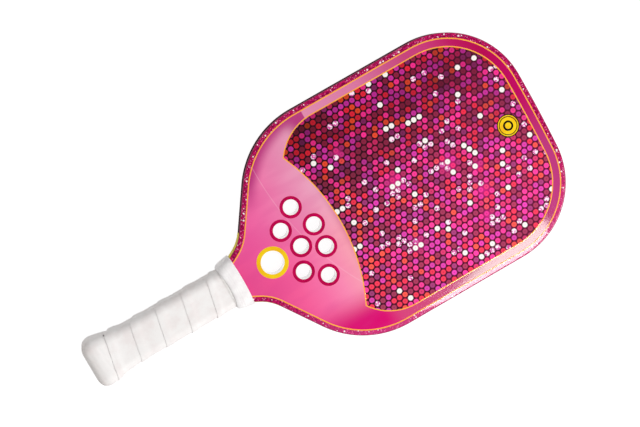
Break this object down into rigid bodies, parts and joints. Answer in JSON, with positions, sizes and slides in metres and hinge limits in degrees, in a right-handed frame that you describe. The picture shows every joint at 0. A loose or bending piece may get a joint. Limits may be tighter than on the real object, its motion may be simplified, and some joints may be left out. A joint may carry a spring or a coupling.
{
  "type": "pickleball paddle",
  "caption": "Flat solid-faced pickleball paddle with a ringed hole pattern in the throat, a printed sequin-look face and a wrapped handle with a rubber collar.",
  "frame": {"origin": "centre of the flat butt end, on the mid plane of the blade", "axes": "+X from the butt along the handle to the tip, +Y across the blade, +Z out of the front face"},
  "size_m": [0.4128, 0.1968, 0.035],
  "materials": {
    "honeycomb": "translucent polypropylene honeycomb",
    "foam": "rigid foam",
    "fibreglass": "fibreglass sheet",
    "printed_film": "glossy printed film, pink sequin pattern",
    "black_strip": "satin black edge strip",
    "yellow_strip": "yellow edge strip",
    "liner": "white moulded liner",
    "pallet": "dense moulded foam",
    "cap": "white moulded cap",
    "steel": "steel wire",
    "base_grip": "black cushioned grip",
    "overgrip": "white tacky overgrip, soft matte",
    "tape": "white vinyl tape",
    "collar": "white rubber, satin"
  },
  "bodies": {
    "root": {"honeycomb_core": "honeycomb", "perimeter_foam": "foam", "throat_block": "foam", "handle_core": "foam", "front_face_sheet": "fibreglass", "back_face_sheet": "fibreglass", "front_graphic_film": "printed_film", "back_graphic_film": "printed_film", "edge_strip": "black_strip", "neck_strip_left": "yellow_strip", "neck_strip_right": "yellow_strip", "large_hole_liner": "liner", "hole_liner_1": "liner", "hole_liner_2": "liner", "hole_liner_3": "liner", "hole_liner_4": "liner", "hole_liner_5": "liner", "hole_liner_6": "liner", "hole_liner_7": "liner", "pallet_front": "pallet", "pallet_back": "pallet", "overgrip": "overgrip", "base_grip": "base_grip", "butt_cap": "cap", "butt_disc": "cap", "cap_staples": "steel", "finishing_tape": "tape", "grip_collar": "collar"}
  },
  "joints": []
}
